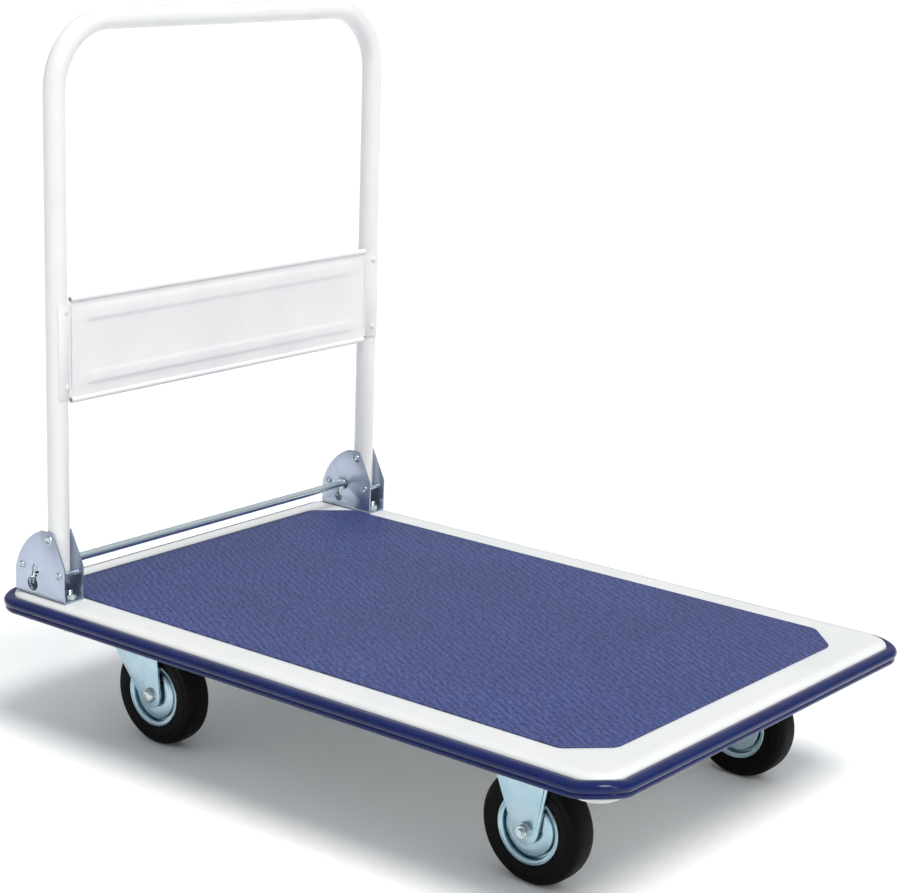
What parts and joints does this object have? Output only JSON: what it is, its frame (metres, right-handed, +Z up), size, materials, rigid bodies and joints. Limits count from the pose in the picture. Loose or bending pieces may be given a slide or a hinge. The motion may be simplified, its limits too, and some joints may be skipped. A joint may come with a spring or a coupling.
{
  "type": "platform cart",
  "caption": "Folding platform cart: flat steel deck with a bumper rim and bonded mat, a hinged U-shaped push handle with a cross panel, rigid front and swivel rear casters.",
  "frame": {"origin": "on the floor under the centre of the deck", "axes": "+X from the handle end to the front, +Y to the left side, +Z up"},
  "size_m": [0.9, 0.614, 0.8607],
  "materials": {
    "white_paint": "gloss powder coat",
    "blue_vinyl": "fine embossed grain",
    "blue_pvc": "smooth gloss",
    "black_rubber": "satin solid rubber",
    "zinc_plate": "bright zinc plate",
    "spring_steel": "dark oiled wire"
  },
  "bodies": {
    "deck": {"deck_tray": "white_paint", "deck_mat": "blue_vinyl", "bumper": "blue_pvc", "rail_left": "white_paint", "rail_right": "white_paint", "channel_left": "white_paint", "channel_right": "white_paint", "bracket_left": "zinc_plate", "bracket_right": "zinc_plate", "bracket_bolts": "white_paint", "bracket_nuts": "zinc_plate", "pivot_pins": "zinc_plate", "stop_pins": "zinc_plate", "rear_pins": "zinc_plate", "caster_bolts": "zinc_plate", "caster_nuts": "zinc_plate", "spring_left": "spring_steel", "spring_right": "spring_steel", "rear_left_plate": "zinc_plate", "rear_left_race": "zinc_plate", "rear_left_king_pin": "zinc_plate", "rear_right_plate": "zinc_plate", "rear_right_race": "zinc_plate", "rear_right_king_pin": "zinc_plate", "front_left_fork": "zinc_plate", "front_left_axle": "zinc_plate", "front_left_nut": "zinc_plate", "front_left_spacer": "zinc_plate", "front_right_fork": "zinc_plate", "front_right_axle": "zinc_plate", "front_right_nut": "zinc_plate", "front_right_spacer": "zinc_plate"},
    "handle": {"handle_tube": "white_paint", "handle_panel": "white_paint", "panel_rivets": "white_paint"},
    "release": {"release_rod": "zinc_plate", "release_sleeve": "zinc_plate", "release_collars": "zinc_plate"},
    "rear_left_swivel": {"rear_left_fork": "zinc_plate", "rear_left_axle": "zinc_plate", "rear_left_nut": "zinc_plate", "rear_left_spacer": "zinc_plate"},
    "rear_left_wheel": {"rear_left_rim": "zinc_plate", "rear_left_tyre": "black_rubber", "rear_left_bearing": "zinc_plate"},
    "front_left_wheel": {"front_left_rim": "zinc_plate", "front_left_tyre": "black_rubber", "front_left_bearing": "zinc_plate"},
    "rear_right_swivel": {"rear_right_fork": "zinc_plate", "rear_right_axle": "zinc_plate", "rear_right_nut": "zinc_plate", "rear_right_spacer": "zinc_plate"},
    "rear_right_wheel": {"rear_right_rim": "zinc_plate", "rear_right_tyre": "black_rubber", "rear_right_bearing": "zinc_plate"},
    "front_right_wheel": {"front_right_rim": "zinc_plate", "front_right_tyre": "black_rubber", "front_right_bearing": "zinc_plate"}
  },
  "joints": [
    {"name": "handle_fold", "type": "hinge", "parent": "deck", "child": "handle", "pos_m": [-0.3615, 0, 0.251], "axis": [0, 1, 0], "range_deg": [0, 95.5]},
    {"name": "release_press", "type": "slide", "parent": "deck", "child": "release", "axis": [-0.2924, 0, -0.9563], "range_m": [0, 0.02], "stiffness_N_per_m": 1600, "springref_m": -0.01, "deforming": ["spring_left", "spring_right"]},
    {"name": "rear_left_swivel_turn", "type": "hinge", "parent": "deck", "child": "rear_left_swivel", "pos_m": [-0.305, 0.19, 0.15], "axis": [0, 0, 1], "continuous": true},
    {"name": "rear_left_wheel_roll", "type": "hinge", "parent": "rear_left_swivel", "child": "rear_left_wheel", "pos_m": [-0.271, 0.19, 0.0635], "axis": [0, 1, 0], "continuous": true},
    {"name": "rear_right_swivel_turn", "type": "hinge", "parent": "deck", "child": "rear_right_swivel", "pos_m": [-0.305, -0.19, 0.15], "axis": [0, 0, 1], "continuous": true},
    {"name": "rear_right_wheel_roll", "type": "hinge", "parent": "rear_right_swivel", "child": "rear_right_wheel", "pos_m": [-0.271, -0.19, 0.0635], "axis": [0, 1, 0], "continuous": true},
    {"name": "front_left_wheel_roll", "type": "hinge", "parent": "deck", "child": "front_left_wheel", "pos_m": [0.294, 0.202, 0.0635], "axis": [0, 1, 0], "continuous": true},
    {"name": "front_right_wheel_roll", "type": "hinge", "parent": "deck", "child": "front_right_wheel", "pos_m": [0.294, -0.202, 0.0635], "axis": [0, 1, 0], "continuous": true}
  ]
}
